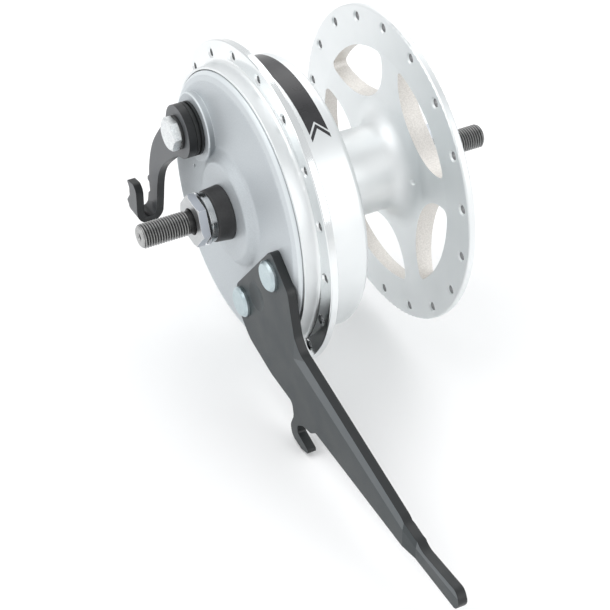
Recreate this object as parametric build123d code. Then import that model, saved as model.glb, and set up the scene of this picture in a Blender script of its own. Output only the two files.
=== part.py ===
from build123d import *
import os
from math import cos, radians, sin, tan

# Front drum brake hub for a bicycle, in millimetres.
# The axle lies along Y with the brake side at -Y, and +Z is up.
# The origin is on the axle, half-way between the outer faces of the two locknuts.
# Every outline in the plane of the wheel is given as (x, z) and every turned profile as (radius, y).

os.makedirs("parts", exist_ok=True)

# Clearances
running_gap = 0.05
ball_gap = 0.03
seal_gap = 0.3
lever_gap = 0.1
plate_gap = 0.35
shoe_gap = 0.04
lining_gap = 0.4
bush_gap = 0.1
flat_gap = 0.03

# Axle
axle_length = 140.0
thread_radius = 4.5
axle_middle_radius = 6.0
axle_tip_chamfer = 0.9
centre_hole_radius = 1.6
centre_hole_depth = 2.4
relief_radius = 4.15
relief_start = 0.4
relief_end = 2.2
axle_flat = 3.9

# Locknuts and what they clamp
over_locknuts = 100.0
locknut_flats = 17.0
locknut_thickness = 3.8
locknut_angle = 52.0
locknut_chamfer = 0.5
locknut_countersink = 0.4
locknut_neck_radius = 8.2
locknut_neck_height = 0.6
lock_washer_radius = 9.6
lock_washer_thickness = 0.5
ring_washer_radius = 9.1
ring_washer_thickness = 2.4
collar_outer_end_radius = 9.5
collar_base_radius = 10.2
right_spacer_radius = 8.0
sleeve_wall = 2.0
sleeve_radius = axle_middle_radius + sleeve_wall

# Braking ring, which the plate, the shoes and the drum follow
liner_bore = 45.0
liner_thickness = 3.0
liner_radius = liner_bore + liner_thickness
liner_start = -28.4

# Brake plate
plate_overlap = 2.3
plate_radius = liner_radius + plate_overlap
plate_face = -33.8
plate_thickness = 3.0
plate_rim_depth = 4.4
plate_rim_width = 2.8
plate_bevel_width = 3.7
plate_bevel_drop = 1.8
plate_centre_top = -37.0
plate_centre_radius = 18.0
plate_centre_foot = 21.8
plate_centre_blend = 3.0
plate_inner_taper = 2.0
plate_rim_taper = 1.0
plate_seat = -31.5
cam_boss_radius = 13.0
cam_boss_height = 2.5
cam_boss_inner_radius = 9.5
cam_boss_inner_end = -28.5
dot_position = (-30.9, 0.7)
dot_radius = 0.7
dot_depth = 0.6

# Rings of the brake shoes, from the drum inwards
lining_thickness = 3.6
shoe_table_thickness = 2.0
shoe_web_height = 13.0
shoe_table_radius = liner_bore - lining_gap - lining_thickness
shoe_inner_radius = shoe_table_radius - shoe_table_thickness - shoe_web_height

# Cam and fulcrum pin, opposite each other on one circle inside the shoes' webs
pivot_depth = 6.8
pivot_circle = shoe_inner_radius + pivot_depth
cam_angle = 140.0
pin_angle = cam_angle - 180.0
pin_radius = 5.0
pin_neck_radius = 4.0
pin_end = -14.0
spindle_radius = 5.0
spindle_shoulder_radius = 6.5
spindle_shoulder_thickness = 1.3
spindle_seat_flats = 8.2
cam_half_thickness = 2.96
cam_corner_radius = 3.5
cam_end = -14.0
bush_radius = 7.0
dust_seal_radius = 10.0
dust_seal_thickness = 3.1
dust_seal_groove_width = 0.8
dust_seal_groove_depth = 0.8

# Cam lever, outline measured from the cam's axis
lever_thickness = 3.0
lever_head_radius = 10.0
lever_left_edge = [(-7.4, 6.7), (-14.6, -5.6), (-23.4, -17.6), (-27.6, -28.6), (-28.7, -35.3)]
lever_teeth = [(-30.2, -36.9), (-30.3, -38.2), (-29.0, -38.8), (-28.6, -42.6), (-30.2, -44.2)]
lever_right_edge = [(-23.2, -47.6), (-21.8, -39.1), (-20.2, -31.8), (-18.1, -27.2), (-14.6, -22.8),
                    (-10.1, -18.4), (-1.9, -11.6), (4.4, -9.0)]
fold_height = -47.6
fold_left = -31.0
fold_right = -23.2
fold_gap = 5.0
prong_outline = [(-23.2, -37.6, 3.2), (-25.8, -35.6, 2.0), (-31.7, -36.6, 0.6), (-29.7, -39.2, 0.6),
                 (-29.7, -42.6, 0.6), (-32.4, -46.2, 0.6)]
lever_washer_radius = 6.3
lever_washer_thickness = 0.9
lever_bolt_flats = 11.0
lever_bolt_chamfer = 0.5
lever_bolt_angle = 5.0
lever_bolt_head = 3.3
lever_bolt_shank_radius = 3.0
lever_bolt_end = -30.0

# Anchor arm, outline measured from the fulcrum pin's axis, as (x, z, corner radius)
arm_thickness = 3.3
arm_upper_edge = [(11.0, 27.0, 2.5), (23.7, 17.3, 5), (28.4, 1.6, 8), (32.4, -4.4, 8), (103.4, -22.1, 10)]
arm_tip = [(110.4, -28.7, 10), (133.2, -28.1, 4), (136.6, -30.9, 3), (134.3, -35.4, 2.5),
           (109.2, -34.6, 4)]
arm_lower_edge = [(103.9, -32.7, 4), (44.2, -29.9, 1)]
arm_hook = [(40.7, -32.7, 1.5), (34.7, -33.8, 2.5), (30.7, -36.7, 2), (30.9, -40.0, 1), (38.4, -42.4, 0.6),
            (38.6, -44.0, 0.6), (33.7, -45.4, 4), (26.7, -44.2, 3.5), (25.6, -39.7, 3), (28.0, -34.2, 4),
            (26.7, -28.8, 2.5)]
arm_root = [(10.7, -27.4, 20), (-6.3, -22.9, 12), (-14.0, -16.2, 8), (-16.3, -5.2, 5)]

# Pressed shape of the arm: a crease along it, a step near its tip, and where the crease fades out
arm_step_start = 103.8
arm_step_end = 109.2
arm_step_depth = 2.0
arm_crease_tilt = 9.0
arm_crease_start = (27.8, -8.2)
arm_crease_at_step = (arm_step_start, -25.5)
arm_crease_at_tip = (arm_step_end, -30.0)
arm_fade_flat = (33.8, 48.7)
arm_fade_bent = (55.8, 4.7)
arm_dimple_radius = 5.65
arm_dimple_depth = 0.8

# Rivets that hold the arm on the plate
rivet_offsets = [3.5, 0.8]
rivet_angles = [-7.3, -64.5]
rivet_head_radius = 5.7
rivet_head_height = 2.1
rivet_edge_height = 1.1
rivet_bevel_width = 0.9
rivet_shank_radius = 2.6
rivet_tail_radius = 4.4
rivet_tail_height = 1.2

# Hub shell: flanges, drum and barrel
drum_wall = 2.7
drum_radius = liner_radius + drum_wall
spoke_clearance = 4.8
spoke_circle = 2 * (drum_radius + spoke_clearance)
left_flange_margin = 4.5
right_flange_margin = 4.3
flange_radius = spoke_circle / 2 + left_flange_margin
right_flange_radius = spoke_circle / 2 + right_flange_margin
spoke_count = 18
left_spoke_hole_radius = 1.37
right_spoke_hole_radius = 1.53
spoke_sink_radius = 2.2
spoke_sink_depth = 0.55
left_spoke_angle = 142.95
right_spoke_angle = 153.15
left_flange_outer = -26.2
left_flange_thickness = 3.0
right_flange_inner = 28.3
right_flange_thickness = 2.9
drum_end = -5.7
drum_end_thickness = 2.9
drum_corner_radius = 2.6
lip_mouth = -31.7
lip_mouth_width = 0.85
lip_base_width = 1.45
lip_depth = 3.1
lip_fillet = 1.5
bearing_outside = 28.0
seat_radius = bearing_outside / 2
barrel_wall = 2.0
barrel_radius = seat_radius + barrel_wall
barrel_fillet = 9.0
barrel_round = barrel_fillet - 1
barrel_left_fillet = 3.0
bearing_shoulder = 2.0
barrel_bore = seat_radius - bearing_shoulder
left_boss_wall = 3.0
left_boss_radius = seat_radius + left_boss_wall
left_boss_end = -11.8
web_rise = 2.0
web_thickness = 7.5
web_taper = 4.0
web_outer_radius = 45.0
web_step_width = 2.6
window_count = 5
window_angle = -20.7
window_round_radius = 22.5
window_corner_radius = 2.5
window_boss_gap = 0.5
right_boss_radius = 24.9
window_inner_radius = right_boss_radius + window_boss_gap
right_boss_end = 38.5

# Small dimple on the fillet between the barrel and the right flange
dimple_radius = 1.3
dimple_lift = 0.6
dimple_angle = 9.6
dimple_slope = 61.0

# Wheel bearings
bearing_width = 8.0
ball_radius = 2.38
ball_circle = (axle_middle_radius + seat_radius) / 2
ball_count = 9
land_height = 1.3
cage_half_thickness = 0.7
cage_width = 6.0
cage_gap = 0.1
left_bearing_start = -9.0
right_bearing_start = 28.0
grease_seal_width = 2.4
circlip_groove_depth = 0.8
circlip_reach = 1.4
circlip_width = 0.9
circlip_opening = 40.0
circlip_gap = 0.1
dust_cap_overlap = 4.0
dust_cap_flange = 0.8
dust_cap_depth = 1.0

# Shoes, drawn with the cam at +y and the pin at -y of their own plane
shoe_web_thickness = 3.0
shoe_web_start = -18.0
shoe_table_start = -12.0
shoe_table_width = 15.0
shoe_half_angle = 77.0
shoe_pin_offset = 1.2
lining_half_angle = 52.0

# Return springs
spring_wire = 0.8
spring_radius = 2.2
spring_length = 16.0
spring_turns = 9
spring_station = 24.0
spring_anchor = 14.0
spring_plane = -14.6
spring_hole_radius = 0.9
spring_hook_bend = 1.2


# A closed outline of straight lines and corner arcs
def outline(points):
    count = len(points)
    corners = []
    for i in range(count):
        here = Vector(*points[i][:2])
        before = Vector(*points[i - 1][:2])
        after = Vector(*points[(i + 1) % count][:2])
        radius = points[i][2] if len(points[i]) > 2 else 0
        back = (before - here).normalized()
        ahead = (after - here).normalized()
        half_angle = radians(back.get_angle(ahead) / 2)
        reach = radius / tan(half_angle)
        inset = radius / sin(half_angle) - radius
        middle = here + (back + ahead).normalized() * inset if radius else here
        corners.append((here + back * reach, middle, here + ahead * reach, radius))
    edges = []
    for i in range(count):
        start, middle, end, radius = corners[i]
        following = corners[(i + 1) % count][0]
        if radius:
            edges.append(ThreePointArc(start, middle, end))
        if (following - end).length > 0.001:
            edges.append(Line(end, following))
    return make_face(edges)


# A solid turned about the axle from a profile of (radius, y, corner radius)
def turned(points):
    return revolve(outline(points), Axis.Y)


# A flat plate in the plane of the wheel, from its inner to its outer y
def slab(face, inner, outer):
    plane = Plane(origin=(0, inner, 0), x_dir=(1, 0, 0), z_dir=(0, -1, 0))
    return extrude(plane * face, amount=inner - outer)


# A round bar along the axle's direction
def bar(radius, inner, outer, place=(0, 0)):
    return slab(Pos(*place) * Circle(radius), inner, outer)


# A point in the plane of the wheel
def at_angle(radius, angle):
    return (radius * cos(radians(angle)), radius * sin(radians(angle)))


# Shifts outline points to an axis
def shifted(points, place):
    return [(p[0] + place[0], p[1] + place[1], *p[2:]) for p in points]


def save(shape, name):
    export_step(shape, "parts/" + name + ".step")


cam_place = at_angle(pivot_circle, cam_angle)
pin_place = at_angle(pivot_circle, pin_angle)
rivet_places = [at_angle(pivot_circle + offset, angle) for offset, angle in zip(rivet_offsets, rivet_angles)]
nut_face = over_locknuts / 2
nut_back = nut_face - locknut_thickness
washer_back = nut_back - lock_washer_thickness
ring_back = washer_back - ring_washer_thickness
axle_hole = thread_radius + running_gap
left_bearing_end = left_bearing_start + bearing_width
right_bearing_end = right_bearing_start + bearing_width

# Axle, with a thicker middle for the bearings and two flats for the plate
half_length = axle_length / 2
axle = turned([
    (0, -half_length), (thread_radius, -half_length), (thread_radius, -nut_face - relief_end),
    (relief_radius, -nut_face - relief_end), (relief_radius, -nut_face - relief_start),
    (thread_radius, -nut_face - relief_start), (thread_radius, plate_seat),
    (axle_middle_radius, plate_seat), (axle_middle_radius, right_bearing_end),
    (thread_radius, right_bearing_end), (thread_radius, nut_face + relief_start),
    (relief_radius, nut_face + relief_start), (relief_radius, nut_face + relief_end),
    (thread_radius, nut_face + relief_end), (thread_radius, half_length), (0, half_length),
])
end_circles = axle.edges().filter_by(GeomType.CIRCLE)
tip_edges = [e for e in end_circles if abs(abs(e.center().Y) - half_length) < 0.01]
axle = chamfer(tip_edges, axle_tip_chamfer)
for side in (-1, 1):
    point = half_length - centre_hole_depth
    axle -= turned([(0, side * point), (centre_hole_radius, side * half_length), (0, side * half_length)])
    flat_cut = Box(thread_radius * 4, plate_seat - plate_centre_top, thread_radius)
    axle -= Pos(0, (plate_seat + plate_centre_top) / 2, side * (axle_flat + thread_radius / 2)) * flat_cut
save(axle, "axle")


# Hexagon nut with its outer corners turned off
def hexagon_nut(outer, inner, flats, turn, bore, chamfer_height):
    corner = flats / 2 / cos(radians(30))
    low, high = sorted((outer, inner))
    body = slab(RegularPolygon(corner, 6, rotation=turn), high, low)
    toward_inner = 1 if inner > outer else -1
    face_radius = corner - chamfer_height * 1.7
    body &= turned([
        (0, outer), (face_radius, outer), (corner, outer + toward_inner * chamfer_height),
        (corner, inner - toward_inner * chamfer_height / 2), (face_radius, inner), (0, inner),
    ])
    return body - bar(bore, high, low) if bore else body


for side, name in ((-1, "locknut_left"), (1, "locknut_right")):
    outer = side * nut_face
    inner = side * nut_back
    locknut = hexagon_nut(outer, inner, locknut_flats, locknut_angle, thread_radius, locknut_chamfer)
    sink_floor = outer - side * locknut_countersink
    locknut -= turned([(0, outer), (thread_radius + locknut_countersink, outer), (thread_radius, sink_floor),
                       (0, sink_floor)])
    neck_start = inner + side * locknut_neck_height
    locknut -= bar(locknut_flats, inner, neck_start) - bar(locknut_neck_radius, inner, neck_start)
    save(locknut, name)

for side, name in ((-1, "lock_washer_left"), (1, "lock_washer_right")):
    ends = sorted((side * washer_back, side * nut_back))
    save(bar(lock_washer_radius, ends[1], ends[0]) - bar(axle_hole, ends[1], ends[0]), name)

ring_washer_left = turned([
    (axle_hole, -washer_back), (ring_washer_radius, -washer_back, 0.4),
    (ring_washer_radius, -ring_back, 0.4), (axle_hole, -ring_back),
])
save(ring_washer_left, "ring_washer_left")

spacer_collar_left = turned([
    (axle_hole, -ring_back), (collar_outer_end_radius, -ring_back, 0.5),
    (collar_base_radius, plate_centre_top, 0.3), (axle_hole, plate_centre_top),
])
save(spacer_collar_left, "spacer_collar_left")

# Tubes between the plate, the bearings and the right locknut
sleeve_bore = axle_middle_radius + running_gap
for name, inner, outer, bore, radius in (
    ("spacer_sleeve_left", left_bearing_start, plate_seat, sleeve_bore, sleeve_radius),
    ("spacer_sleeve_middle", right_bearing_start, left_bearing_end, sleeve_bore, sleeve_radius),
    ("spacer_right", washer_back, right_bearing_end, axle_hole, right_spacer_radius),
):
    save(bar(radius, inner, outer) - bar(bore, inner, outer), name)

# Brake plate: raised centre, bevelled rim, cam boss, and holes for what it carries
plate_inner = plate_face + plate_thickness
plate_rim_inner = plate_face + plate_rim_depth
boss_top = plate_face - cam_boss_height
brake_plate = turned([
    (0, plate_seat), (plate_centre_radius - plate_inner_taper, plate_seat),
    (plate_centre_radius, plate_inner),
    (plate_radius - plate_rim_width - plate_rim_taper, plate_inner),
    (plate_radius - plate_rim_width, plate_rim_inner),
    (plate_radius, plate_rim_inner), (plate_radius, plate_face + plate_bevel_drop, 0.8),
    (plate_radius - plate_rim_taper, plate_face + plate_bevel_drop / 2, 1.5),
    (plate_radius - plate_bevel_width, plate_face, 3), (plate_centre_foot, plate_face, plate_centre_blend),
    (plate_centre_radius, plate_centre_top, 2), (0, plate_centre_top),
])
cam_boss = bar(cam_boss_radius, plate_inner, boss_top, cam_place)
boss_rim = [e for e in cam_boss.edges().filter_by(GeomType.CIRCLE) if abs(e.center().Y - boss_top) < 0.01]
brake_plate += fillet(boss_rim, 0.6)
brake_plate += bar(cam_boss_inner_radius, cam_boss_inner_end, plate_inner, cam_place)
axle_opening = Circle(axle_hole) & Rectangle(thread_radius * 4, 2 * (axle_flat + flat_gap))
brake_plate -= slab(axle_opening, plate_seat, plate_centre_top)
brake_plate -= bar(bush_radius, cam_boss_inner_end, boss_top, cam_place)
brake_plate -= bar(pin_neck_radius, plate_inner, plate_face, pin_place)
for place in rivet_places:
    brake_plate -= bar(rivet_shank_radius, plate_inner, plate_face, place)
brake_plate -= bar(dot_radius, plate_face + dot_depth, plate_face, dot_position)
save(brake_plate, "brake_plate")

# Fulcrum pin, shouldered on the inside of the plate
fulcrum_pin = bar(pin_radius, pin_end, plate_inner, pin_place)
fulcrum_pin += bar(pin_neck_radius, plate_inner, plate_face, pin_place)
save(fulcrum_pin, "fulcrum_pin")

# Cam bush and dust seal
spindle_hole = spindle_radius + running_gap
bush_end = cam_boss_inner_end - bush_gap
cam_bush = bar(bush_radius, bush_end, boss_top, cam_place) - bar(spindle_hole, bush_end, boss_top, cam_place)
save(cam_bush, "cam_bush")
seal_top = boss_top - dust_seal_thickness
dust_seal = bar(dust_seal_radius, boss_top, seal_top, cam_place)
seal_rims = dust_seal.edges().filter_by(GeomType.CIRCLE)
cam_dust_seal = fillet(seal_rims, 0.5) - bar(spindle_radius + seal_gap, boss_top, seal_top, cam_place)
groove_inner = boss_top - (dust_seal_thickness - dust_seal_groove_width) / 2
groove_outer = groove_inner - dust_seal_groove_width
seal_groove = bar(dust_seal_radius, groove_inner, groove_outer, cam_place)
seal_groove -= bar(dust_seal_radius - dust_seal_groove_depth, groove_inner, groove_outer, cam_place)
cam_dust_seal -= seal_groove
save(cam_dust_seal, "cam_dust_seal")

# Cam spindle: two-flatted cam inside, journal in the bush, flatted seat for the lever
lever_back = seal_top - lever_gap
lever_front = lever_back - lever_thickness
shoulder_back = cam_boss_inner_end + lever_gap
shoulder_front = shoulder_back + spindle_shoulder_thickness
cam_section = Circle(cam_corner_radius) & Rectangle(2 * cam_half_thickness, cam_corner_radius * 3)
cam_section = Pos(*cam_place) * Rot(0, 0, cam_angle - 90) * cam_section
seat_section = Circle(spindle_radius) & Rectangle(spindle_seat_flats, spindle_radius * 3)
hole_section = Circle(spindle_hole) & Rectangle(spindle_seat_flats + 2 * flat_gap, spindle_radius * 3)
cam_spindle = slab(cam_section, cam_end, shoulder_front)
cam_spindle += bar(spindle_shoulder_radius, shoulder_front, shoulder_back, cam_place)
cam_spindle += bar(spindle_radius, shoulder_back, lever_back, cam_place)
cam_spindle += slab(Pos(*cam_place) * seat_section, lever_back, lever_front + lever_gap)
cam_spindle -= bar(lever_bolt_shank_radius, lever_bolt_end + 1, lever_front, cam_place)
save(cam_spindle, "cam_spindle")

# Lever: flat blade whose lower end is folded back on itself into a prong
prong_back = lever_front - fold_gap
prong_front = prong_back - lever_thickness
blade_face = make_face([
    Spline(*lever_left_edge),
    Polyline(lever_left_edge[-1], *lever_teeth, (fold_left, fold_height), (fold_right, fold_height)),
    Spline(*lever_right_edge),
    Line(lever_right_edge[-1], lever_left_edge[0]),
])
cam_lever = slab(Pos(*cam_place) * (blade_face + Circle(lever_head_radius)), lever_back, lever_front)
prong_points = [(fold_left, fold_height), (fold_right, fold_height), *prong_outline]
cam_lever += slab(outline(shifted(prong_points, cam_place)), prong_back, prong_front)
fold_radius = fold_gap / 2 + lever_thickness
fold_ring = Circle(fold_radius) - Circle(fold_gap / 2)
fold_half = fold_ring & (Pos(0, -fold_radius) * Rectangle(4 * fold_radius, 2 * fold_radius))
fold_plane = Plane(
    origin=(cam_place[0] + fold_left, lever_front - fold_gap / 2, cam_place[1] + fold_height),
    x_dir=(0, 1, 0), z_dir=(1, 0, 0),
)
cam_lever += extrude(fold_plane * fold_half, amount=fold_right - fold_left)
cam_lever -= slab(Pos(*cam_place) * hole_section, lever_back, lever_front)
save(cam_lever, "cam_lever")

washer_front = lever_front - lever_washer_thickness
lever_washer = bar(lever_washer_radius, lever_front, washer_front, cam_place)
lever_washer -= bar(lever_bolt_shank_radius + running_gap, lever_front, washer_front, cam_place)
save(lever_washer, "lever_washer")

bolt_top = washer_front - lever_bolt_head
lever_bolt = hexagon_nut(bolt_top, washer_front, lever_bolt_flats, lever_bolt_angle, 0, lever_bolt_chamfer)
lever_bolt = Pos(cam_place[0], 0, cam_place[1]) * lever_bolt
lever_bolt += bar(lever_bolt_shank_radius, lever_bolt_end, washer_front, cam_place)
save(lever_bolt, "lever_bolt")

# Anchor arm: a blank pressed from sheet, whose front face is made of flat zones
arm_front = plate_face - arm_thickness
arm_points = arm_upper_edge + arm_tip + arm_lower_edge + arm_hook + arm_root
arm_face = outline(shifted(arm_points, pin_place))
far = 200.0


# How far the creased part lies back, towards the wheel, at one point
def crease_depth(point):
    run = Vector(*arm_crease_at_step) - Vector(*arm_crease_start)
    rise = Vector(*point) - Vector(*arm_crease_start)
    return run.normalized().cross(rise).Z * tan(radians(arm_crease_tilt))


# One flat zone of the sheet, from corners of (x, z, depth)
def zone(*corners):
    front = [(pin_place[0] + x, arm_front + depth, pin_place[1] + z) for x, z, depth in corners]
    return extrude(make_face(Polyline(*front, close=True)), amount=arm_thickness, dir=(0, 1, 0))


begin = (*arm_crease_start, 0)
at_step = (*arm_crease_at_step, 0)
at_tip = (*arm_crease_at_tip, arm_step_depth)
fade_flat = (*arm_fade_flat, 0)
fade_bent = (*arm_fade_bent, crease_depth(arm_fade_bent))
above_step = (arm_step_start, far, crease_depth((arm_step_start, far)))
tip_rise = (far - arm_crease_at_tip[1]) * tan(radians(arm_crease_tilt))
above_tip = (arm_step_end, far, arm_step_depth + tip_rise)
below_step = (arm_step_start, -far, 0)
below_tip = (arm_step_end, -far, arm_step_depth)
sheet = zone((-far, far, 0), fade_flat, begin, at_step, below_step, (-far, -far, 0))
sheet += zone(begin, fade_flat, fade_bent)
sheet += zone(begin, fade_bent, above_step, at_step)
sheet += zone(at_step, above_step, above_tip)
sheet += zone(at_step, above_tip, at_tip)
sheet += zone(at_step, at_tip, below_tip, below_step)
sheet += zone(at_tip, (far, at_tip[1], at_tip[2]), (far, -far, at_tip[2]), below_tip)
sheet += zone(at_tip, above_tip, (far, far, above_tip[2]), (far, at_tip[1], at_tip[2]))
anchor_arm = slab(arm_face, plate_face + far, arm_front - 1) & sheet
dish_radius = (arm_dimple_radius**2 + arm_dimple_depth**2) / (2 * arm_dimple_depth)
dish_centre = (pin_place[0], arm_front + arm_dimple_depth - dish_radius, pin_place[1])
anchor_arm -= Pos(*dish_centre) * Sphere(dish_radius)
for place in rivet_places:
    anchor_arm -= bar(rivet_shank_radius, plate_face, arm_front, place)
save(anchor_arm, "anchor_arm")

# Rivets: domed head outside, shank through arm and plate, flat tail inside
rivet = turned([
    (0, arm_front - rivet_head_height),
    (rivet_head_radius - rivet_bevel_width, arm_front - rivet_head_height, 0.8),
    (rivet_head_radius, arm_front - rivet_edge_height, 0.3), (rivet_head_radius, arm_front),
    (rivet_shank_radius, arm_front), (rivet_shank_radius, plate_inner), (rivet_tail_radius, plate_inner),
    (rivet_tail_radius, plate_inner + rivet_tail_height), (0, plate_inner + rivet_tail_height),
])
for place, name in zip(rivet_places, ("arm_rivet_upper", "arm_rivet_lower")):
    save(Pos(place[0], 0, place[1]) * rivet, name)

# Hub shell
left_flange_inner = left_flange_outer + left_flange_thickness
right_flange_outer = right_flange_inner + right_flange_thickness
drum_floor = drum_end - drum_end_thickness
lip_bore = plate_radius + plate_gap
lip_mouth_radius = lip_bore + lip_mouth_width
lip_base_radius = lip_bore + lip_base_width
fillet_foot = barrel_radius + barrel_fillet
web_near = right_flange_inner + web_rise
web_far = web_near + web_thickness
hub_shell = turned([
    (lip_mouth_radius, lip_mouth, 0.3), (lip_bore, lip_mouth), (lip_bore, lip_mouth + lip_depth),
    (liner_radius, lip_mouth + lip_depth), (liner_radius, drum_floor), (left_boss_radius, drum_floor, 1),
    (left_boss_radius, left_boss_end, 0.5), (seat_radius, left_boss_end), (seat_radius, left_bearing_end),
    (barrel_bore, left_bearing_end), (barrel_bore, right_bearing_start),
    (seat_radius, right_bearing_start), (seat_radius, right_boss_end),
    (right_boss_radius, right_boss_end, 1.2), (right_boss_radius, web_far, 0.6),
    (web_outer_radius, web_far - web_taper, 1), (web_outer_radius + web_step_width, right_flange_outer, 1),
    (right_flange_radius, right_flange_outer, 0.8), (right_flange_radius, right_flange_inner, 0.8),
    (web_outer_radius, right_flange_inner, 8), (fillet_foot, web_near, 1),
    (barrel_radius, web_near, barrel_round),
    (barrel_radius, drum_end, barrel_left_fillet), (drum_radius, drum_end, drum_corner_radius),
    (drum_radius, left_flange_inner, 0.8), (flange_radius, left_flange_inner, 0.5),
    (flange_radius, left_flange_outer, 0.5), (lip_base_radius, left_flange_outer, lip_fillet),
])
window_centre = (window_inner_radius + window_round_radius, 0)
window = Circle(web_outer_radius) & Pos(*window_centre) * Circle(window_round_radius)
window_corners = window.vertices().sort_by(Axis.Y)
window = fillet([window_corners[0], window_corners[-1]], window_corner_radius)
for k in range(window_count):
    turned_window = Rot(0, 0, window_angle + k * 360 / window_count) * window
    hub_shell -= slab(turned_window, right_boss_end, right_flange_inner - 1)


# A countersunk spoke hole through one flange
def spoke_hole(radius, low, high):
    return turned([
        (0, low), (spoke_sink_radius, low), (radius, low + spoke_sink_depth),
        (radius, high - spoke_sink_depth), (spoke_sink_radius, high), (0, high),
    ])


spoke_holes = []
for radius, low, high, first in (
    (left_spoke_hole_radius, left_flange_outer, left_flange_inner, left_spoke_angle),
    (right_spoke_hole_radius, right_flange_inner, right_flange_outer, right_spoke_angle),
):
    hole = spoke_hole(radius, low, high)
    for k in range(spoke_count):
        x, z = at_angle(spoke_circle / 2, first - k * 360 / spoke_count)
        spoke_holes.append(Pos(x, 0, z) * hole)
hub_shell -= spoke_holes
dimple_reach = barrel_round - dimple_lift
dimple_distance = barrel_radius + barrel_round - dimple_reach * cos(radians(dimple_slope))
dimple_x, dimple_z = at_angle(dimple_distance, dimple_angle)
dimple_y = web_near - barrel_round + dimple_reach * sin(radians(dimple_slope))
hub_shell -= Pos(dimple_x, dimple_y, dimple_z) * Sphere(dimple_radius)
groove_start = right_bearing_end + circlip_gap
groove_end = groove_start + circlip_width + 2 * circlip_gap
groove_radius = seat_radius + circlip_groove_depth
hub_shell -= bar(groove_radius, groove_end, groove_start)
save(hub_shell, "hub_shell")

drum_liner = turned([
    (liner_bore, liner_start, 0.5), (liner_radius, liner_start), (liner_radius, drum_floor),
    (liner_bore, drum_floor),
])
save(drum_liner, "drum_liner")


# Ball bearing: two grooved rings, balls and cage
def bearing(start, side):
    centre = start + bearing_width / 2
    end = start + bearing_width
    groove = Pos(0, centre, 0) * Rot(90, 0, 0) * Torus(ball_circle, ball_radius + ball_gap)
    inner = bar(ball_circle - land_height, end, start) - bar(axle_middle_radius, end, start) - groove
    outer = bar(seat_radius, end, start) - bar(ball_circle + land_height, end, start) - groove
    cage_inner = ball_circle - cage_half_thickness
    cage_outer = ball_circle + cage_half_thickness
    balls = []
    pockets = []
    for k in range(ball_count):
        x, z = at_angle(ball_circle, k * 360 / ball_count)
        balls.append(Pos(x, centre, z) * Sphere(ball_radius))
        pocket_plane = Plane(origin=(0, centre, 0), x_dir=(0, 1, 0), z_dir=(x, 0, z))
        pockets.append(extrude(pocket_plane * Circle(ball_radius + cage_gap), amount=2 * cage_outer))
    low = centre - cage_width / 2
    high = centre + cage_width / 2
    cage = bar(cage_outer, high, low) - bar(cage_inner, high, low) - pockets
    save(inner, "bearing_inner_ring_" + side)
    save(outer, "bearing_outer_ring_" + side)
    save(Compound(children=balls), "bearing_balls_" + side)
    save(cage, "bearing_cage_" + side)


bearing(left_bearing_start, "left")
bearing(right_bearing_start, "right")

seal_start = left_bearing_start - grease_seal_width
grease_seal = bar(seat_radius, left_bearing_start, seal_start)
grease_seal -= bar(sleeve_radius + seal_gap, left_bearing_start, seal_start)
save(grease_seal, "grease_seal_left")

clip_start = groove_start + circlip_gap
clip_end = clip_start + circlip_width
clip_radius = groove_radius - circlip_gap
clip_face = Circle(clip_radius) - Circle(seat_radius - circlip_reach)
opening_start = at_angle(2 * clip_radius, -90 - circlip_opening / 2)
opening_end = at_angle(2 * clip_radius, -90 + circlip_opening / 2)
clip_face -= make_face(Polyline((0, 0), opening_start, opening_end, close=True))
save(slab(clip_face, clip_end, clip_start), "bearing_circlip_right")

cap_end = right_boss_end + dust_cap_flange
dust_cap = bar(seat_radius, right_boss_end, right_boss_end - dust_cap_depth)
dust_cap += bar(seat_radius + dust_cap_overlap, cap_end, right_boss_end)
dust_cap -= bar(right_spacer_radius + seal_gap, cap_end, right_boss_end - dust_cap_depth)
save(dust_cap, "dust_cap_right")


# Brake shoe and lining on one side of the line through cam and pin
def shoe(side, name):
    turn = cam_angle - 90 if side > 0 else cam_angle + 90
    reach = shoe_table_radius * 3
    pin_y = -side * pivot_circle
    web_section = Circle(shoe_table_radius - shoe_table_thickness) - Circle(shoe_inner_radius)
    cam_half = Pos(cam_half_thickness + shoe_gap + reach / 2, side * reach / 2) * Rectangle(reach, reach)
    pin_half = Pos(shoe_pin_offset + reach / 2, -side * reach / 2) * Rectangle(reach, reach)
    web_section &= cam_half + pin_half
    web_section -= Pos(0, pin_y) * Circle(pin_radius + running_gap)
    for station in (spring_station, -spring_station):
        web_section -= Pos(spring_anchor, station) * Circle(spring_hole_radius)
    table = sector(shoe_table_radius - shoe_table_thickness, shoe_table_radius, shoe_half_angle)
    lining = sector(shoe_table_radius, liner_bore - lining_gap, lining_half_angle)
    web = slab(Rot(0, 0, turn) * web_section, shoe_web_start, shoe_web_start - shoe_web_thickness)
    table_end = shoe_table_start - shoe_table_width
    web += slab(Rot(0, 0, turn) * table, shoe_table_start, table_end)
    save(web, "brake_shoe_" + name)
    save(slab(Rot(0, 0, turn) * lining, shoe_table_start, table_end), "shoe_lining_" + name)


# A ring sector about the local x axis
def sector(inner, outer, half_angle):
    low = at_angle(1, -half_angle)
    high = at_angle(1, half_angle)
    return make_face([
        ThreePointArc((inner * low[0], inner * low[1]), (inner, 0), (inner * high[0], inner * high[1])),
        Line((inner * high[0], inner * high[1]), (outer * high[0], outer * high[1])),
        ThreePointArc((outer * high[0], outer * high[1]), (outer, 0), (outer * low[0], outer * low[1])),
        Line((outer * low[0], outer * low[1]), (inner * low[0], inner * low[1])),
    ])


shoe(1, "upper")
shoe(-1, "lower")


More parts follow.
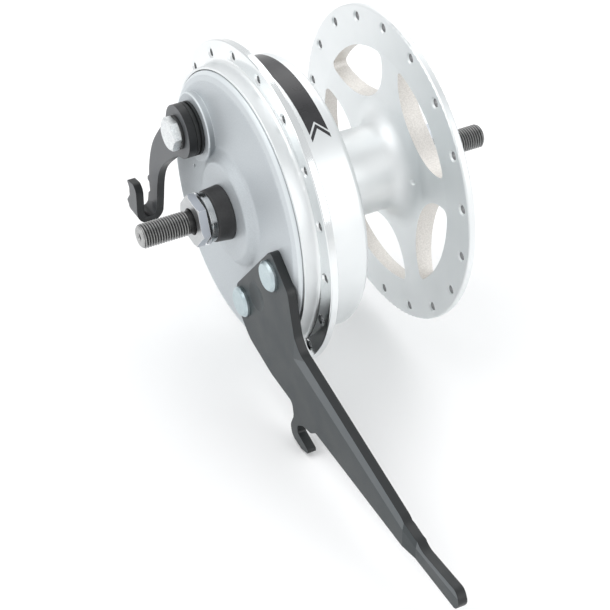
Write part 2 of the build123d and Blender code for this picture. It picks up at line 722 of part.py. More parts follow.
# Return spring across both shoes, hooked through their webs
def spring(station, name):
    wire = Circle(spring_wire / 2)
    coil = Helix(spring_length / spring_turns, spring_length, spring_radius)
    coil_body = sweep(Plane(coil @ 0, z_dir=coil % 0) * wire, path=coil, is_frenet=True)
    body = Pos(0, 0, -spring_length / 2) * coil_body
    hook_reach = shoe_web_thickness + 1 + spring_plane - shoe_web_start
    for end, coil_end in ((-1, coil @ 0), (1, coil @ 1)):
        start = (coil_end.X, coil_end.Y, end * spring_length / 2)
        bend = (0, 0, end * spring_anchor)
        tip = (0, hook_reach, end * spring_anchor)
        hook = FilletPolyline(start, bend, tip, radius=spring_hook_bend)
        body += sweep(Plane(hook @ 0, z_dir=hook % 0) * wire, path=hook)
    # The coil's own axis Z is laid across the shoes, and its Y points away from the wheel
    across = Plane(
        origin=(0, 0, 0), x_dir=(cos(radians(cam_angle)), 0, sin(radians(cam_angle))),
        z_dir=(cos(radians(cam_angle - 90)), 0, sin(radians(cam_angle - 90))),
    )
    x, z = at_angle(station, cam_angle)
    save(Pos(x, spring_plane, z) * (across * body), name)


spring(spring_station, "return_spring_cam_end")
spring(-spring_station, "return_spring_pin_end")
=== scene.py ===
import bpy
from math import cos, radians, sin, tau
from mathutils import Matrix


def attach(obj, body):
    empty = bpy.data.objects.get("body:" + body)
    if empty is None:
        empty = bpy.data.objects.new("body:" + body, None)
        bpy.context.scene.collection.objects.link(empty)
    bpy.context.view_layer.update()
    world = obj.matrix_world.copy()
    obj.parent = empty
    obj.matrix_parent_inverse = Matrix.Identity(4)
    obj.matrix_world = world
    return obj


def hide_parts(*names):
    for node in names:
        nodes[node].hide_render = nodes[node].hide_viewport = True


# Front drum brake hub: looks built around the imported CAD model.
# Everything is in metres, the axle lies along Y and +Z is up.

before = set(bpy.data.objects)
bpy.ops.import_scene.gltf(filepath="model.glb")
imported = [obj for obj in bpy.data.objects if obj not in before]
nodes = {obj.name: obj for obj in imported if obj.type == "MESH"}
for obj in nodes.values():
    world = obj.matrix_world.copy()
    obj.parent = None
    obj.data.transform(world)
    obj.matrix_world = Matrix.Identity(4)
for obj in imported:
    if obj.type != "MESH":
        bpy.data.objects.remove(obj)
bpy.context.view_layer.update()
print("frame loaded with", len(nodes), "nodes")


# What all finishes share: spans are (low, high), and a normal's Y is -1 where a face looks left
finishValues = {
    "ior": 1.5, "grainDetail": 4.0, "cloudDetail": 2.0, "toneSpan": (0.35, 0.65), "cloudSpan": (0.3, 0.7),
    "bevelSamples": 6, "edgeSpan": (0.94, 0.99), "sharpAngle": 35,
    "slightTilt": (-0.998, -0.985), "steepTilt": (-0.975, -0.96), "sideToneTurn": (-0.65, -0.35),
}


# Small helpers for node trees and meshes

def addNode(owner, kind, **inputs):
    node = owner.node_tree.nodes.new(kind)
    for label, value in inputs.items():
        node.inputs[label].default_value = value
    return node


def join(owner, source, target):
    owner.node_tree.links.new(source, target)


def mathNode(owner, operation, first, second=0.0):
    node = addNode(owner, "ShaderNodeMath")
    node.operation = operation
    for socket, value in zip(node.inputs, (first, second)):
        if isinstance(value, (int, float)):
            socket.default_value = value
        else:
            join(owner, value, socket)
    return node.outputs[0]


def times(owner, first, second):
    return mathNode(owner, "MULTIPLY", first, second)


def above(owner, value, limit):
    return mathNode(owner, "GREATER_THAN", value, limit)


def below(owner, value, limit):
    return mathNode(owner, "LESS_THAN", value, limit)


def magnitude(owner, value):
    return mathNode(owner, "ABSOLUTE", value)


def stretched(owner, source, span, toLow=0.0, toHigh=1.0):
    node = addNode(owner, "ShaderNodeMapRange")
    for socket, value in zip(node.inputs[1:5], (*span, toLow, toHigh)):
        socket.default_value = value
    join(owner, source, node.inputs[0])
    return node.outputs[0]


def splitParts(owner, vector):
    node = addNode(owner, "ShaderNodeSeparateXYZ")
    join(owner, vector, node.inputs[0])
    return node.outputs


# The X, Y and Z of the true normal
def facing(owner):
    return splitParts(owner, addNode(owner, "ShaderNodeNewGeometry").outputs["Normal"])


# Distance from the axle's centre line
def axleDistance(owner, place):
    parts = splitParts(owner, place)
    squares = [mathNode(owner, "POWER", parts[axis], 2.0) for axis in (0, 2)]
    return mathNode(owner, "SQRT", mathNode(owner, "ADD", *squares))


def mixTones(owner, factor, first, second):
    node = addNode(owner, "ShaderNodeMix")
    node.data_type = "RGBA"
    join(owner, factor, node.inputs["Factor"])
    sockets = [s for s in node.inputs if s.type == "RGBA"]
    for socket, tone in zip(sockets, (first, second)):
        if isinstance(tone, tuple):
            socket.default_value = (*tone, 1)
        else:
            join(owner, tone, socket)
    return [s for s in node.outputs if s.type == "RGBA"][0]


def noise(owner, coordinates, scale, detail):
    node = addNode(owner, "ShaderNodeTexNoise", Scale=scale, Detail=detail)
    join(owner, coordinates, node.inputs["Vector"])
    return node.outputs[0]


def bumped(owner, shader, height, depth, under=None):
    node = addNode(owner, "ShaderNodeBump", Distance=depth, Strength=1.0)
    join(owner, height, node.inputs["Height"])
    if under is not None:
        join(owner, under, node.inputs["Normal"])
    join(owner, node.outputs[0], shader.inputs["Normal"])
    return node.outputs[0]


# Normals that shade sharp edges as slightly rounded ones
def softEdges(owner, radius):
    node = addNode(owner, "ShaderNodeBevel", Radius=radius)
    node.samples = finishValues["bevelSamples"]
    return node.outputs[0]


# How much a point lies on a sharp edge, where the softened normal leaves the true one
def edgeShare(owner, softened):
    node = addNode(owner, "ShaderNodeVectorMath")
    node.operation = "DOT_PRODUCT"
    join(owner, softened, node.inputs[0])
    join(owner, addNode(owner, "ShaderNodeNewGeometry").outputs["Normal"], node.inputs[1])
    return stretched(owner, node.outputs["Value"], finishValues["edgeSpan"], 1.0, 0.0)


def startFinish(name, look):
    material = bpy.data.materials.new(name)
    material.use_nodes = True
    shader = material.node_tree.nodes["Principled BSDF"]
    shader.inputs["Metallic"].default_value = look["metallic"]
    shader.inputs["IOR"].default_value = finishValues["ior"]
    place = addNode(material, "ShaderNodeTexCoord").outputs["Object"]
    return material, shader, place


# Fine grain, broad clouds, and the tone that both give together
def grainAndClouds(material, place, look):
    grain = noise(material, place, look["grainScale"], finishValues["grainDetail"])
    clouds = noise(material, place, look["cloudScale"], finishValues["cloudDetail"])
    both = mathNode(material, "ADD", times(material, grain, look["grainShare"]),
                    times(material, clouds, 1 - look["grainShare"]))
    factor = stretched(material, both, finishValues["toneSpan"])
    return grain, clouds, mixTones(material, factor, look["darkTone"], look["lightTone"])


# Tone to the shader, clouds to its gloss and grain to its bump
def closeFinish(material, shader, look, tone, grain, clouds, rounded=None):
    join(material, tone, shader.inputs["Base Color"])
    gloss = stretched(material, clouds, finishValues["cloudSpan"], *look["roughness"])
    join(material, gloss, shader.inputs["Roughness"])
    bumped(material, shader, grain, look["grainDepth"], rounded)


# Slightly tilted facets get a painted tone for the light they catch, lighter on the arm's crease, and side
# faces and backs get a painted tone for their shade, darker on the black steel and the chrome
def paintedFacetLight(material, place, look, tone):
    turned = facing(material)[1]
    steep = stretched(material, turned, finishValues["steepTilt"], 1.0, look.get("steepShare", 1.0))
    slight = times(material, stretched(material, turned, finishValues["slightTilt"]), steep)
    reached = above(material, splitParts(material, place)[0], look.get("tiltToneFrom", -1.0))
    tone = mixTones(material, times(material, slight, reached), tone, look["paintedTiltTone"])
    return mixTones(material, stretched(material, turned, finishValues["sideToneTurn"]), tone, look["paintedSideTone"])


# A nut's bore and the sides of its turned neck get a near-black painted shade
def paintedRecessShade(material, place, look, tone):
    fromAxle = axleDistance(material, place)
    onSide = below(material, magnitude(material, facing(material)[1]), look["sideFacing"])
    onNeck = times(material, onSide, below(material, fromAxle, look["neckRadius"]))
    dark = mathNode(material, "MAXIMUM", below(material, fromAxle, look["boreRadius"]), onNeck)
    return mixTones(material, dark, tone, look["paintedBoreShade"])


# A finish with two tones, fine grain, and broad changes in its gloss, plus the painted light and shade
# tones that its look lists
def plainFinish(name, look):
    material, shader, place = startFinish(name, look)
    grain, clouds, tone = grainAndClouds(material, place, look)
    rounded = softEdges(material, look["edgeRadius"]) if "edgeRadius" in look else None
    # Painted light and shade, chosen by how each face is turned
    if "paintedSideTone" in look:
        tone = paintedFacetLight(material, place, look, tone)
    # Sharp edges get a white painted highlight
    if "paintedEdgeHighlight" in look:
        tone = mixTones(material, edgeShare(material, rounded), tone, look["paintedEdgeHighlight"])
    if "paintedBoreShade" in look:
        tone = paintedRecessShade(material, place, look, tone)
    closeFinish(material, shader, look, tone, grain, clouds, rounded)
    return material


def dress(material, *names):
    for name in names:
        thing = nodes[name] if isinstance(name, str) else name
        if not thing.material_slots:
            thing.data.materials.append(material)
        for slot in thing.material_slots:
            slot.material = material


def pieceFrom(name, points, faces, material):
    mesh = bpy.data.meshes.new(name)
    mesh.from_pydata(points, [], faces)
    mesh.validate()
    mesh.update()
    for face in mesh.polygons:
        face.use_smooth = True
    mesh.set_sharp_from_angle(angle=radians(finishValues["sharpAngle"]))
    piece = bpy.data.objects.new(name, mesh)
    bpy.context.scene.collection.objects.link(piece)
    dress(material, piece)
    return piece


# Faces of a closed turned shape, from rows of points with an end point at both ends
def rowFaces(rowCount, around):
    faces = []
    for row in range(rowCount - 1):
        for k in range(around):
            a = 1 + row * around + k
            b = 1 + row * around + (k + 1) % around
            faces.append((a, b, b + around, a + around))
    lastRow = 1 + (rowCount - 1) * around
    lastPoint = lastRow + around
    for k in range(around):
        following = (k + 1) % around
        faces.append((0, 1 + following, 1 + k))
        faces.append((lastPoint, lastRow + k, lastRow + following))
    return faces


# Axle with its rolled thread

axleLook = {
    "metallic": 1.0, "darkTone": (0.055, 0.055, 0.055), "lightTone": (0.50, 0.50, 0.495),
    "grainScale": 2600, "cloudScale": 260, "grainDepth": 0.00001, "roughness": (0.28, 0.45),
    "wearSpan": (0.3, 0.7), "crestWear": (0.6, 1.0), "tipFade": 0.0001, "grooveMargin": 0.0001,
}
axleShape = {
    "halfLength": 0.070, "radius": 0.0045, "rootRadius": 0.00395, "pitch": 0.001, "flatShare": 0.12,
    "reliefRadius": 0.00415, "reliefStart": 0.0504, "threadStart": 0.0522,
    "tipChamfer": 0.0009, "drillRadius": 0.0016, "drillDepth": 0.0024,
    "middleRadius": 0.006, "middleFrom": -0.0315, "middleTo": 0.036,
    "around": 56, "rowsPerPitch": 10,
}


# The thread's roots and crests are flat for a share of the pitch, and its tip is chamfered
def threadRadius(shape, y, turn):
    phase = (y / shape["pitch"] - turn) % 1.0
    rise = (abs(phase * 2 - 1) - shape["flatShare"]) / (1 - 2 * shape["flatShare"])
    radius = shape["rootRadius"] + (shape["radius"] - shape["rootRadius"]) * min(1.0, max(0.0, rise))
    fromTip = shape["halfLength"] - abs(y)
    return min(radius, shape["radius"] - shape["tipChamfer"] + fromTip)


# Rows of (place along Y, radius) from the left tip to the right, where None stands for the thread
def axleRows(shape):
    half, step = shape["halfLength"], shape["pitch"] / shape["rowsPerPitch"]
    count = round((half - shape["threadStart"]) / step)
    outer = [(half, shape["drillRadius"])] + [(half - k * step, None) for k in range(count + 1)]
    outer += [(shape["threadStart"], shape["reliefRadius"]), (shape["reliefStart"], shape["reliefRadius"]),
              (shape["reliefStart"], shape["radius"])]
    left = [(-y, radius) for y, radius in outer]
    middle = [(shape["middleFrom"], shape["radius"]), (shape["middleFrom"], shape["middleRadius"]),
              (shape["middleTo"], shape["middleRadius"]), (shape["middleTo"], shape["radius"])]
    return left + middle + outer[::-1]


def makeAxle(shape):
    around = shape["around"]
    rows = axleRows(shape)
    drillEnd = shape["halfLength"] - shape["drillDepth"]
    points = [(0, -drillEnd, 0)]
    for y, radius in rows:
        for k in range(around):
            turn = k / around
            r = threadRadius(shape, y, turn) if radius is None else radius
            points.append((r * cos(tau * turn), y, -r * sin(tau * turn)))
    points.append((0, drillEnd, 0))
    return points, rowFaces(len(rows), around)


# Steel whose thread crests and tip are painted brighter than the roots and the relief groove
def threadSteel(look, shape):
    material, shader, place = startFinish("darkThreadSteel", look)
    fromMiddle = magnitude(material, splitParts(material, place)[1])
    crest = stretched(material, axleDistance(material, place), (shape["rootRadius"], shape["radius"]))
    tipStart = shape["halfLength"] - shape["tipChamfer"] / 2
    tip = stretched(material, fromMiddle, (tipStart - look["tipFade"], tipStart))
    onThread = above(material, fromMiddle, shape["threadStart"] - look["grooveMargin"])
    bright = times(material, mathNode(material, "MAXIMUM", crest, tip), onThread)
    grain = noise(material, place, look["grainScale"], finishValues["grainDetail"])
    clouds = noise(material, place, look["cloudScale"], finishValues["cloudDetail"])
    wear = stretched(material, grain, look["wearSpan"], *look["crestWear"])
    tone = mixTones(material, times(material, bright, wear), look["darkTone"], look["lightTone"])
    closeFinish(material, shader, look, tone, grain, clouds)
    return material


threadedAxle = pieceFrom("threadedAxle", *makeAxle(axleShape), threadSteel(axleLook, axleShape))
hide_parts("axle")
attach(threadedAxle, "fixed_parts")
print("axle thread made")


# Nuts, washers and small steel parts

# The nut's slightly tilted faces and hex flats get painted tones for how light falls on them
zincLook = {
    "metallic": 1.0, "darkTone": (0.46, 0.47, 0.475), "lightTone": (0.58, 0.59, 0.595),
    "paintedTiltTone": (0.53, 0.54, 0.545), "paintedSideTone": (0.48, 0.505, 0.55), "paintedEdgeHighlight": (1.0, 1.0, 1.0),
    # The bore tone is painted shade in the nut's bore and around its neck
    "boreRadius": 0.0050, "neckRadius": 0.0083, "sideFacing": 0.3, "paintedBoreShade": (0.05, 0.052, 0.055),
    "grainScale": 1800, "cloudScale": 220, "grainShare": 0.35, "grainDepth": 0.000012,
    "roughness": (0.34, 0.46), "edgeRadius": 0.00018,
}
boltLook = {
    "metallic": 1.0, "darkTone": (0.60, 0.62, 0.63), "lightTone": (0.84, 0.86, 0.86),
    "grainScale": 1500, "cloudScale": 500, "grainShare": 0.6, "grainDepth": 0.00004,
    "roughness": (0.25, 0.45), "edgeRadius": 0.0003,
}
rivetLook = {
    "metallic": 1.0, "darkTone": (0.46, 0.55, 0.575), "lightTone": (0.58, 0.66, 0.68),
    "grainScale": 1400, "cloudScale": 200, "grainShare": 0.4, "grainDepth": 0.00001,
    "roughness": (0.30, 0.42), "edgeRadius": 0.0003,
}
# The washers' sides get a darker painted shade tone, and their slightly tilted faces a painted tone for the
# light they catch
chromeLook = {
    "metallic": 1.0, "darkTone": (0.86, 0.87, 0.87), "lightTone": (0.94, 0.95, 0.95),
    "paintedTiltTone": (0.92, 0.93, 0.93), "paintedSideTone": (0.56, 0.57, 0.575),
    "grainScale": 2200, "cloudScale": 150, "grainShare": 0.3, "grainDepth": 0.000004,
    "roughness": (0.10, 0.20),
}
dress(plainFinish("zincPlate", zincLook), "locknut_left", "locknut_right")
dress(plainFinish("pittedZinc", boltLook), "lever_bolt")
dress(plainFinish("blueZinc", rivetLook), "arm_rivet_upper", "arm_rivet_lower")
dress(plainFinish("brightRing", chromeLook), "ring_washer_left", "lock_washer_left", "lock_washer_right")
print("nuts, washers, bolt and rivets dressed")


# Black parts: pressed steel, collar and seal

# The arm's tilted crease facet gets a lighter painted tone for the light it catches, and the sides and
# backs of the arm and lever get painted shade
blackSteelLook = {
    "metallic": 0.0, "darkTone": (0.012, 0.018, 0.020), "lightTone": (0.023, 0.032, 0.036),
    "paintedTiltTone": (0.118, 0.132, 0.140), "tiltToneFrom": 0.045, "steepShare": 0.15,
    "paintedSideTone": (0.009, 0.011, 0.012),
    "grainScale": 2400, "cloudScale": 90, "grainShare": 0.4, "grainDepth": 0.000018,
    "roughness": (0.34, 0.46), "edgeRadius": 0.0004,
}
leverLook = {
    "metallic": 0.0, "darkTone": (0.070, 0.074, 0.079), "lightTone": (0.105, 0.111, 0.118),
    "paintedTiltTone": (0.080, 0.085, 0.090), "paintedSideTone": (0.010, 0.011, 0.012),
    "grainScale": 2400, "cloudScale": 120, "grainShare": 0.4, "grainDepth": 0.000018,
    "roughness": (0.36, 0.48), "edgeRadius": 0.0003,
}
collarLook = {
    "metallic": 0.0, "darkTone": (0.020, 0.020, 0.021), "lightTone": (0.034, 0.034, 0.035),
    "grainScale": 1600, "cloudScale": 160, "grainShare": 0.5, "grainDepth": 0.00001,
    "roughness": (0.40, 0.55), "edgeRadius": 0.0003,
}
sealLook = {
    "metallic": 0.0, "darkTone": (0.008, 0.009, 0.009), "lightTone": (0.018, 0.020, 0.021),
    "grainScale": 1200, "cloudScale": 260, "grainShare": 0.6, "grainDepth": 0.00002,
    "roughness": (0.45, 0.62),
}
dress(plainFinish("blackArmSteel", blackSteelLook), "anchor_arm")
dress(plainFinish("blackLeverSteel", leverLook), "cam_lever")
dress(plainFinish("blackCollar", collarLook), "spacer_collar_left", "lever_washer")
dress(plainFinish("sealRubber", sealLook), "cam_dust_seal", "grease_seal_left")
print("black parts dressed")


# Brake plate: fine grey sprayed aluminium

# The rim tone is a painted highlight and the wall tone is painted shade
plateLook = {
    "metallic": 0.50, "darkTone": (0.49, 0.522, 0.545), "lightTone": (0.57, 0.607, 0.63),
    "paintedRimHighlight": (0.72, 0.76, 0.78), "rimFacing": (0.90, 0.98), "centreRadius": 0.0232,
    "paintedWallShade": (0.30, 0.32, 0.335), "wallFacing": (0.10, 0.45),
    "upwardFacing": (0.2, 0.8), "upwardShare": 0.4,
    "grainScale": 2600, "cloudScale": 45, "grainShare": 0.75, "grainDepth": 0.00002,
    "roughness": (0.42, 0.50), "edgeRadius": 0.0005,
}


# Sprayed faces with a painted highlight on the rims and fillets outside the raised centre, and painted
# shade on the walls, weaker where they face upwards
def plateFinish(look):
    material, shader, place = startFinish("satinPlate", look)
    grain, clouds, tone = grainAndClouds(material, place, look)
    rounded = softEdges(material, look["edgeRadius"])
    normal = splitParts(material, rounded)
    along = magnitude(material, normal[1])
    beyondCentre = above(material, axleDistance(material, place), look["centreRadius"])
    rimHighlight = times(material, beyondCentre, stretched(material, along, look["rimFacing"], 1.0, 0.0))
    tone = mixTones(material, rimHighlight, tone, look["paintedRimHighlight"])
    shaded = times(material, stretched(material, along, look["wallFacing"], 1.0, 0.0),
                   stretched(material, normal[2], look["upwardFacing"], 1.0, look["upwardShare"]))
    tone = mixTones(material, shaded, tone, look["paintedWallShade"])
    closeFinish(material, shader, look, tone, grain, clouds, rounded)
    return material


dress(plateFinish(plateLook), "brake_plate")


# Hub shell: turned and polished casting, with rough walls in the flange openings

shellLook = {
    "metallic": 1.0, "darkTone": (0.76, 0.785, 0.79), "lightTone": (0.85, 0.87, 0.875),
    "polishedRoughness": 0.07, "satinRoughness": (0.40, 0.52),
    "polishSpan": (0.0520, 0.0535), "polishEnd": -0.0232,
    "cloudScale": 40, "latheScale": 2600, "latheDetail": 2.0, "latheDepth": 0.000004,
    "castTone": (0.78, 0.76, 0.73), "castDark": (0.68, 0.66, 0.63), "castRoughness": 0.6,
    "castScale": 1900, "castDepth": 0.00005,
    "openingInner": 0.0252, "openingOuter": 0.0452, "openingFrom": 0.0284, "openingFacing": 0.45,
    # The hole tone is painted shade on the spoke hole walls
    "holeCircle": 0.0555, "holeReach": 0.0024, "holeFacing": 0.5, "paintedHoleShade": (0.36, 0.365, 0.37),
}


# Walls of the flange openings: they face neither way along the axle
def openingWalls(material, look, radius, along, turned):
    sideways = below(material, turned, look["openingFacing"])
    outside = above(material, radius, look["openingInner"])
    inside = below(material, radius, look["openingOuter"])
    beyond = above(material, along, look["openingFrom"])
    return times(material, times(material, sideways, outside), times(material, inside, beyond))


# Walls of the spoke holes: they get a darker painted shade
def spokeHoleWalls(material, look, radius, turned):
    fromCircle = magnitude(material, mathNode(material, "SUBTRACT", radius, look["holeCircle"]))
    tilted = below(material, turned, look["holeFacing"])
    return times(material, tilted, below(material, fromCircle, look["holeReach"]))


# The outside of the left flange is polished, the rest is only burnished
def shellGloss(material, look, clouds, radius, along):
    polished = times(material, stretched(material, radius, look["polishSpan"]),
                     below(material, along, look["polishEnd"]))
    satin = stretched(material, clouds, finishValues["cloudSpan"], *look["satinRoughness"])
    less = times(material, polished, look["satinRoughness"][0] - look["polishedRoughness"])
    return mathNode(material, "SUBTRACT", satin, less)


def shellFinish(look):
    material, shader, place = startFinish("turnedShell", look)
    radius = axleDistance(material, place)
    along = splitParts(material, place)[1]
    turned = magnitude(material, facing(material)[1])
    rings = addNode(material, "ShaderNodeCombineXYZ")
    join(material, radius, rings.inputs[0])
    join(material, along, rings.inputs[1])
    lathe = noise(material, rings.outputs[0], look["latheScale"], look["latheDetail"])
    clouds = noise(material, place, look["cloudScale"], finishValues["cloudDetail"])
    cast = noise(material, place, look["castScale"], finishValues["grainDetail"])
    wall = openingWalls(material, look, radius, along, turned)

    bright = mixTones(material, stretched(material, clouds, finishValues["cloudSpan"]),
                      look["darkTone"], look["lightTone"])
    hole = spokeHoleWalls(material, look, radius, turned)
    bright = mixTones(material, hole, bright, look["paintedHoleShade"])
    rough = mixTones(material, stretched(material, cast, finishValues["toneSpan"]),
                     look["castDark"], look["castTone"])
    join(material, mixTones(material, wall, bright, rough), shader.inputs["Base Color"])

    gloss = mathNode(material, "MAXIMUM", shellGloss(material, look, clouds, radius, along),
                     times(material, wall, look["castRoughness"]))
    join(material, gloss, shader.inputs["Roughness"])
    turnedMarks = bumped(material, shader, lathe, look["latheDepth"])
    bumped(material, shader, times(material, cast, wall), look["castDepth"], turnedMarks)
    return material


dress(shellFinish(shellLook), "hub_shell")
print("shell and plate dressed")


# Plain dark band around the drum

bandLook = {
    "metallic": 0.0, "darkTone": (0.018, 0.018, 0.020), "lightTone": (0.030, 0.030, 0.033),
    "grainScale": 3000, "cloudScale": 120, "grainShare": 0.3, "grainDepth": 0.000003,
    "roughness": (0.25, 0.35),
}
# Where the band and its mark start and end is in degrees around the axle
bandShape = {
    "radius": 0.0507, "lift": 0.00006, "sunk": 0.00005, "nearEdge": -0.0174, "farEdge": -0.0103,
    "notchEnd": 56.5, "notchDepth": 5.0, "otherEnd": 150.0,
    "markGap": 1.2, "markWidth": 1.9, "stepDegrees": 1.0, "acrossSteps": 8,
}


# A thin strip that follows the drum: start and end angle for each line across its width
def stripAround(shape, startAngles, endAngles):
    lines = len(startAngles)
    columns = max(1, round((max(endAngles) - min(startAngles)) / shape["stepDegrees"]))
    points = []
    for radius in (shape["radius"] - shape["sunk"], shape["radius"] + shape["lift"]):
        for i in range(lines):
            y = shape["nearEdge"] + (shape["farEdge"] - shape["nearEdge"]) * i / (lines - 1)
            for k in range(columns + 1):
                angle = radians(startAngles[i] + (endAngles[i] - startAngles[i]) * k / columns)
                points.append((radius * cos(angle), y, radius * sin(angle)))
    wide = columns + 1
    layer = lines * wide
    faces = []
    for i in range(lines - 1):
        for k in range(columns):
            a = i * wide + k
            faces.append((a, a + 1, a + wide + 1, a + wide))
            faces.append((layer + a, layer + a + wide, layer + a + wide + 1, layer + a + 1))
    rim = list(range(wide))
    rim += [i * wide + columns for i in range(1, lines)]
    rim += [(lines - 1) * wide + k for k in range(columns - 1, -1, -1)]
    rim += [i * wide for i in range(lines - 2, 0, -1)]
    for here, following in zip(rim, rim[1:] + rim[:1]):
        faces.append((following, here, layer + here, layer + following))
    return points, faces


bandFinish = plainFinish("bandFilm", bandLook)
lineCount = bandShape["acrossSteps"] + 1
notch = [bandShape["notchDepth"] * (1 - abs(2 * i / (lineCount - 1) - 1)) for i in range(lineCount)]
bandStarts = [bandShape["notchEnd"] + dip for dip in notch]
bandEnds = [bandShape["otherEnd"]] * lineCount
markEnds = [angle - bandShape["markGap"] for angle in bandStarts]
markStarts = [angle - bandShape["markWidth"] for angle in markEnds]
drumBand = pieceFrom("drumBand", *stripAround(bandShape, bandStarts, bandEnds), bandFinish)
bandMark = pieceFrom("bandMark", *stripAround(bandShape, markStarts, markEnds), bandFinish)
for strip in (drumBand, bandMark):
    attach(strip, "turning_shell")
print("drum band made")


# Parts inside the drum and hub

machinedLook = {
    "metallic": 1.0, "darkTone": (0.42, 0.42, 0.43), "lightTone": (0.58, 0.58, 0.59),
    "grainScale": 2000, "cloudScale": 150, "grainShare": 0.5, "grainDepth": 0.000008,
    "roughness": (0.25, 0.38),
}
bearingLook = {
    "metallic": 1.0, "darkTone": (0.62, 0.62, 0.63), "lightTone": (0.72, 0.72, 0.73),
    "grainScale": 3000, "cloudScale": 200, "grainShare": 0.3, "grainDepth": 0.000002,
    "roughness": (0.08, 0.16),
}
bronzeLook = {
    "metallic": 1.0, "darkTone": (0.42, 0.27, 0.13), "lightTone": (0.60, 0.41, 0.21),
    "grainScale": 1500, "cloudScale": 200, "grainShare": 0.5, "grainDepth": 0.00001,
    "roughness": (0.30, 0.45),
}
ironLook = {
    "metallic": 1.0, "darkTone": (0.20, 0.19, 0.18), "lightTone": (0.33, 0.32, 0.31),
    "grainScale": 1400, "cloudScale": 120, "grainShare": 0.5, "grainDepth": 0.00002,
    "roughness": (0.35, 0.50),
}
shoeLook = {
    "metallic": 1.0, "darkTone": (0.52, 0.52, 0.52), "lightTone": (0.66, 0.66, 0.66),
    "grainScale": 700, "cloudScale": 90, "grainShare": 0.6, "grainDepth": 0.00008,
    "roughness": (0.42, 0.58),
}
liningLook = {
    "metallic": 0.0, "darkTone": (0.045, 0.040, 0.036), "lightTone": (0.14, 0.12, 0.10),
    "grainScale": 900, "cloudScale": 200, "grainShare": 0.8, "grainDepth": 0.00006,
    "roughness": (0.75, 0.92),
}
capLook = {
    "metallic": 0.0, "darkTone": (0.020, 0.020, 0.020), "lightTone": (0.032, 0.032, 0.032),
    "grainScale": 1500, "cloudScale": 150, "grainShare": 0.5, "grainDepth": 0.00001,
    "roughness": (0.35, 0.50),
}
dress(plainFinish("machinedSteel", machinedLook), "spacer_sleeve_left", "spacer_sleeve_middle",
      "spacer_right", "fulcrum_pin", "cam_spindle")
dress(plainFinish("bearingSteel", bearingLook), "bearing_inner_ring_left", "bearing_inner_ring_right",
      "bearing_outer_ring_left", "bearing_outer_ring_right", "bearing_balls_left", "bearing_balls_right",
      "bearing_circlip_right", "return_spring_cam_end", "return_spring_pin_end")
dress(plainFinish("bushBronze", bronzeLook), "cam_bush", "bearing_cage_left", "bearing_cage_right")
dress(plainFinish("brakingIron", ironLook), "drum_liner")
dress(plainFinish("castShoe", shoeLook), "brake_shoe_upper", "brake_shoe_lower")
dress(plainFinish("brakeLining", liningLook), "shoe_lining_upper", "shoe_lining_lower")
dress(plainFinish("capPlastic", capLook), "dust_cap_right")
print("inner parts dressed")


# Floor, sky, light and camera

floorLook = {
    "height": -0.0672, "size": 6.0, "tone": (0.86, 0.86, 0.86), "whiteTone": (1.0, 1.0, 1.0),
    "roughness": 0.9, "fade": (0.30, 0.75),
}
skyLook = {
    "low": (1.0, 1.01, 1.02), "high": (0.88, 0.89, 0.90), "highFrom": 0.7, "strength": 0.90,
}
lampValues = {
    "keyLamp": {"place": (-0.20, -0.60, 0.88), "size": 1.00, "power": 4.2},
    "sideLamp": {"place": (0.90, 0.35, 0.55), "size": 0.70, "power": 2.4},
    "backLamp": {"place": (-0.60, 0.60, 0.70), "size": 0.70, "power": 2.2},
}
cameraValues = {
    "place": (0.52509737, -0.28412886, 0.40504877), "azimuth": 61.945, "elevation": 37.638,
    "lens": 117.05, "sensor": 36.0, "clipStart": 0.01,
}


# Pale paint that seen rays find white, fading into the white background so that no horizon shows
def floorPaint(look):
    paint = bpy.data.materials.new("floorPaint")
    paint.use_nodes = True
    shader = paint.node_tree.nodes["Principled BSDF"]
    shader.inputs["Roughness"].default_value = look["roughness"]
    shader.inputs["Specular IOR Level"].default_value = 0.0
    rays = addNode(paint, "ShaderNodeLightPath")
    seen = mathNode(paint, "MAXIMUM", rays.outputs["Is Camera Ray"], rays.outputs["Is Glossy Ray"])
    seen = mathNode(paint, "MAXIMUM", seen, rays.outputs["Is Transmission Ray"])
    join(paint, mixTones(paint, seen, look["tone"], look["whiteTone"]), shader.inputs["Base Color"])
    distance = addNode(paint, "ShaderNodeVectorMath")
    distance.operation = "LENGTH"
    join(paint, addNode(paint, "ShaderNodeTexCoord").outputs["Object"], distance.inputs[0])
    fade = stretched(paint, distance.outputs["Value"], look["fade"])
    white = addNode(paint, "ShaderNodeEmission", Color=(*look["whiteTone"], 1), Strength=1.0)
    choice = addNode(paint, "ShaderNodeMixShader")
    for target, source in enumerate((times(paint, fade, seen), shader.outputs[0], white.outputs[0])):
        join(paint, source, choice.inputs[target])
    join(paint, choice.outputs[0], paint.node_tree.nodes["Material Output"].inputs["Surface"])
    return paint


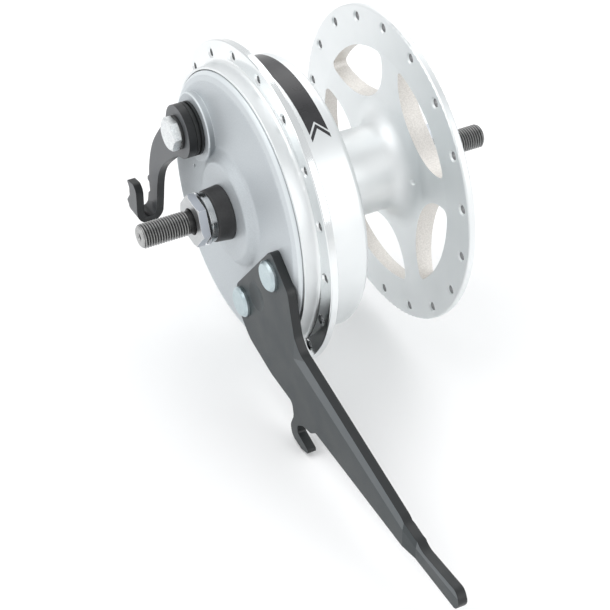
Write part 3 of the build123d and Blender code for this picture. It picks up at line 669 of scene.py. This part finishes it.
def makeFloor(look):
    half, z = look["size"] / 2, look["height"]
    corners = [(-half, -half, z), (half, -half, z), (half, half, z), (-half, half, z)]
    mesh = bpy.data.meshes.new("studioFloor")
    mesh.from_pydata(corners, [], [(0, 1, 2, 3)])
    mesh.materials.append(floorPaint(look))
    floor = bpy.data.objects.new("studioFloor", mesh)
    bpy.context.scene.collection.objects.link(floor)


# Soft studio sky, which the camera sees as plain white
def makeSky(look):
    world = bpy.data.worlds.new("studioSky")
    world.use_nodes = True
    bpy.context.scene.world = world
    background = world.node_tree.nodes["Background"]
    background.inputs["Strength"].default_value = look["strength"]
    white = addNode(world, "ShaderNodeBackground", Color=(1, 1, 1, 1))
    ramp = addNode(world, "ShaderNodeValToRGB")
    stops = ramp.color_ramp.elements
    stops[0].color = (*look["low"], 1)
    stops[1].color = (*look["high"], 1)
    stops[1].position = look["highFrom"]
    direction = addNode(world, "ShaderNodeTexCoord").outputs["Generated"]
    join(world, splitParts(world, direction)[2], ramp.inputs[0])
    join(world, ramp.outputs[0], background.inputs["Color"])
    rays = addNode(world, "ShaderNodeLightPath")
    choice = addNode(world, "ShaderNodeMixShader")
    sources = (rays.outputs["Is Camera Ray"], background.outputs[0], white.outputs[0])
    for target, source in enumerate(sources):
        join(world, source, choice.inputs[target])
    join(world, choice.outputs[0], world.node_tree.nodes["World Output"].inputs["Surface"])


def placeLamps(lamps):
    for name, values in lamps.items():
        lamp = bpy.data.lights.new(name, "AREA")
        lamp.shape = "SQUARE"
        lamp.size = values["size"]
        lamp.energy = values["power"]
        holder = bpy.data.objects.new(name, lamp)
        holder.location = values["place"]
        towardHub = -holder.location
        holder.rotation_euler = towardHub.to_track_quat("-Z", "Y").to_euler()
        bpy.context.scene.collection.objects.link(holder)


def placeCamera(values):
    lens = bpy.data.cameras.new("photoCamera")
    lens.lens = values["lens"]
    lens.sensor_width = values["sensor"]
    lens.clip_start = values["clipStart"]
    camera = bpy.data.objects.new("photoCamera", lens)
    camera.location = values["place"]
    camera.rotation_euler = (radians(90 - values["elevation"]), 0, radians(values["azimuth"]))
    bpy.context.scene.collection.objects.link(camera)
    bpy.context.scene.camera = camera


makeFloor(floorLook)
makeSky(skyLook)
placeLamps(lampValues)
placeCamera(cameraValues)
bpy.context.scene.view_settings.view_transform = "Standard"
print("stage, light and camera set")
